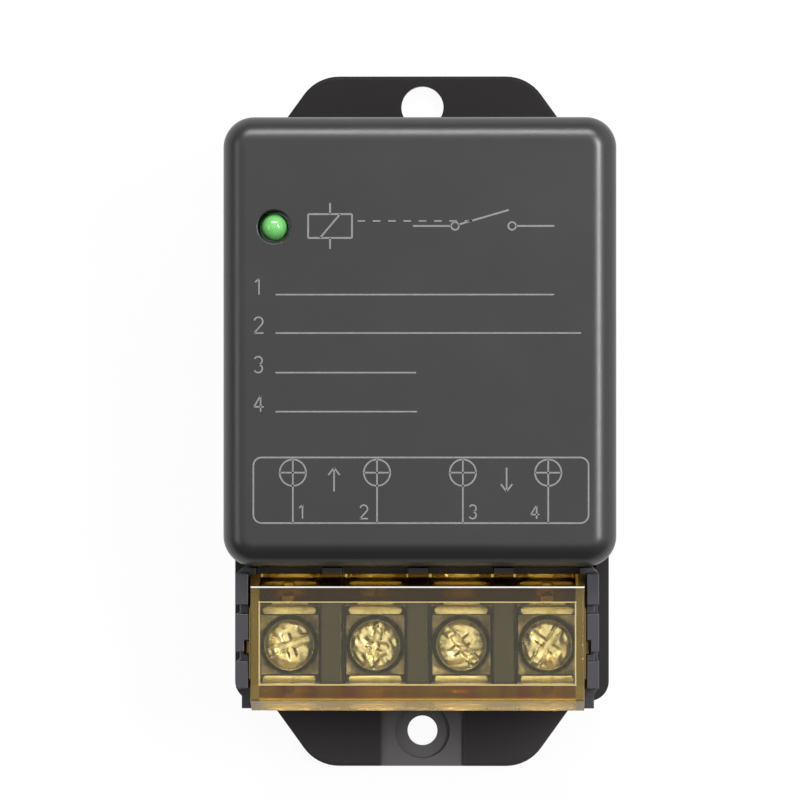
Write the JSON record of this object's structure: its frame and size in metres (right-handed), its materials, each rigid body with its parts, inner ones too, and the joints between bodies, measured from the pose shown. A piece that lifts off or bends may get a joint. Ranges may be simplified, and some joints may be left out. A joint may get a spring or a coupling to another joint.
{
  "type": "smart relay module",
  "caption": "Boxed mains relay module with a flanged base tray, a status lamp and a covered screw terminal block.",
  "frame": {"origin": "middle of the back face, on the surface the module is screwed to", "axes": "+Z out of the label face, +Y towards the lamp end, +X to the label's right"},
  "size_m": [0.0432, 0.0784, 0.029],
  "materials": {
    "tray_black": "satin",
    "cover_grey": "satin",
    "block_black": "satin",
    "clear_amber": "clear, polished",
    "board_green": "solder mask",
    "zinc_steel": "zinc plated",
    "zinc_yellow_steel": "yellow zinc plated",
    "clamp_steel": "yellow zinc plated",
    "contact_brass": "bright",
    "relay_case_black": "moulded",
    "relay_iron": "nickel plated",
    "reel_plastic": "moulded",
    "copper_wire": "enamelled",
    "tinned_lead": "tinned",
    "film_yellow": "moulded",
    "varistor_blue": "dipped",
    "resistor_green": "coated",
    "can_sleeve": "sleeved",
    "ferrite": "sintered",
    "winding_tape": "taped copper winding",
    "chip_epoxy": "moulded",
    "shield_tin": "tin plated",
    "switch_black": "moulded",
    "button_black": "moulded",
    "lamp_green": "clear green"
  },
  "bodies": {
    "root": {"base_tray": "tray_black", "top_cover": "cover_grey", "terminal_block": "block_black", "circuit_board": "board_green", "housing_screws": "zinc_steel", "relay_case": "relay_case_black", "relay_base": "relay_case_black", "relay_bobbin": "reel_plastic", "relay_coil": "copper_wire", "relay_core": "relay_iron", "relay_yoke": "relay_iron", "relay_fixed_contact": "contact_brass", "relay_common_terminal": "contact_brass", "relay_coil_pins": "tinned_lead", "film_capacitor": "film_yellow", "varistor": "varistor_blue", "fusible_resistor": "resistor_green", "smoothing_capacitor": "can_sleeve", "output_capacitor": "can_sleeve", "transformer_core": "ferrite", "transformer_bobbin": "reel_plastic", "transformer_winding": "winding_tape", "rectifier_bridge": "chip_epoxy", "power_controller": "chip_epoxy", "driver_transistor": "chip_epoxy", "flyback_diode": "chip_epoxy", "radio_board": "board_green", "radio_shield": "shield_tin", "radio_pins": "tinned_lead", "switch_body": "switch_black", "lamp_lens": "lamp_green", "lamp_leads": "tinned_lead", "terminal_contact_1": "contact_brass", "terminal_contact_2": "contact_brass", "terminal_contact_3": "contact_brass", "terminal_contact_4": "contact_brass"},
    "terminal_cover": {"terminal_cover": "clear_amber"},
    "pairing_button": {"pairing_button": "button_black", "switch_plunger": "button_black"},
    "relay_armature": {"relay_armature": "relay_iron", "relay_contact_spring": "contact_brass"},
    "wire_clamp_1": {"wire_clamp_1": "clamp_steel"},
    "terminal_screw_1": {"terminal_screw_1": "zinc_yellow_steel"},
    "wire_clamp_2": {"wire_clamp_2": "clamp_steel"},
    "terminal_screw_2": {"terminal_screw_2": "zinc_yellow_steel"},
    "wire_clamp_3": {"wire_clamp_3": "clamp_steel"},
    "terminal_screw_3": {"terminal_screw_3": "zinc_yellow_steel"},
    "wire_clamp_4": {"wire_clamp_4": "clamp_steel"},
    "terminal_screw_4": {"terminal_screw_4": "zinc_yellow_steel"}
  },
  "joints": [
    {"name": "terminal_cover_lift", "type": "slide", "parent": "root", "child": "terminal_cover", "axis": [0, 0, 1], "range_m": [0, 0.015]},
    {"name": "pairing_button_press", "type": "slide", "parent": "root", "child": "pairing_button", "axis": [1, 0, 0], "range_m": [0, 0.0005], "stiffness_N_per_m": 500, "springref_m": -0.0005},
    {"name": "relay_armature_pull", "type": "hinge", "parent": "root", "child": "relay_armature", "pos_m": [0.0055, 0.02095, 0.0226], "axis": [1, 0, 0], "range_deg": [0, 2], "stiffness_Nm_per_rad": 0.02, "springref_deg": -5.73},
    {"name": "clamp_lift_1", "type": "slide", "parent": "root", "child": "wire_clamp_1", "axis": [0, 0, 1], "range_m": [0, 0.003]},
    {"name": "screw_turn_1", "type": "hinge", "parent": "wire_clamp_1", "child": "terminal_screw_1", "pos_m": [-0.01455, -0.0249, 0.01505], "axis": [0, 0, 1], "range_deg": [0, 2165]},
    {"name": "clamp_lift_2", "type": "slide", "parent": "root", "child": "wire_clamp_2", "axis": [0, 0, 1], "range_m": [0, 0.003]},
    {"name": "screw_turn_2", "type": "hinge", "parent": "wire_clamp_2", "child": "terminal_screw_2", "pos_m": [-0.00505, -0.0249, 0.01505], "axis": [0, 0, 1], "range_deg": [0, 2165]},
    {"name": "clamp_lift_3", "type": "slide", "parent": "root", "child": "wire_clamp_3", "axis": [0, 0, 1], "range_m": [0, 0.003]},
    {"name": "screw_turn_3", "type": "hinge", "parent": "wire_clamp_3", "child": "terminal_screw_3", "pos_m": [0.00445, -0.0249, 0.01505], "axis": [0, 0, 1], "range_deg": [0, 2165]},
    {"name": "clamp_lift_4", "type": "slide", "parent": "root", "child": "wire_clamp_4", "axis": [0, 0, 1], "range_m": [0, 0.003]},
    {"name": "screw_turn_4", "type": "hinge", "parent": "wire_clamp_4", "child": "terminal_screw_4", "pos_m": [0.01395, -0.0249, 0.01505], "axis": [0, 0, 1], "range_deg": [0, 2165]}
  ],
  "couplings": [
    {"joint": "screw_turn_1", "follows": "clamp_lift_1", "rad_per_m": 12566},
    {"joint": "screw_turn_2", "follows": "clamp_lift_2", "rad_per_m": 12566},
    {"joint": "screw_turn_3", "follows": "clamp_lift_3", "rad_per_m": 12566},
    {"joint": "screw_turn_4", "follows": "clamp_lift_4", "rad_per_m": 12566}
  ]
}
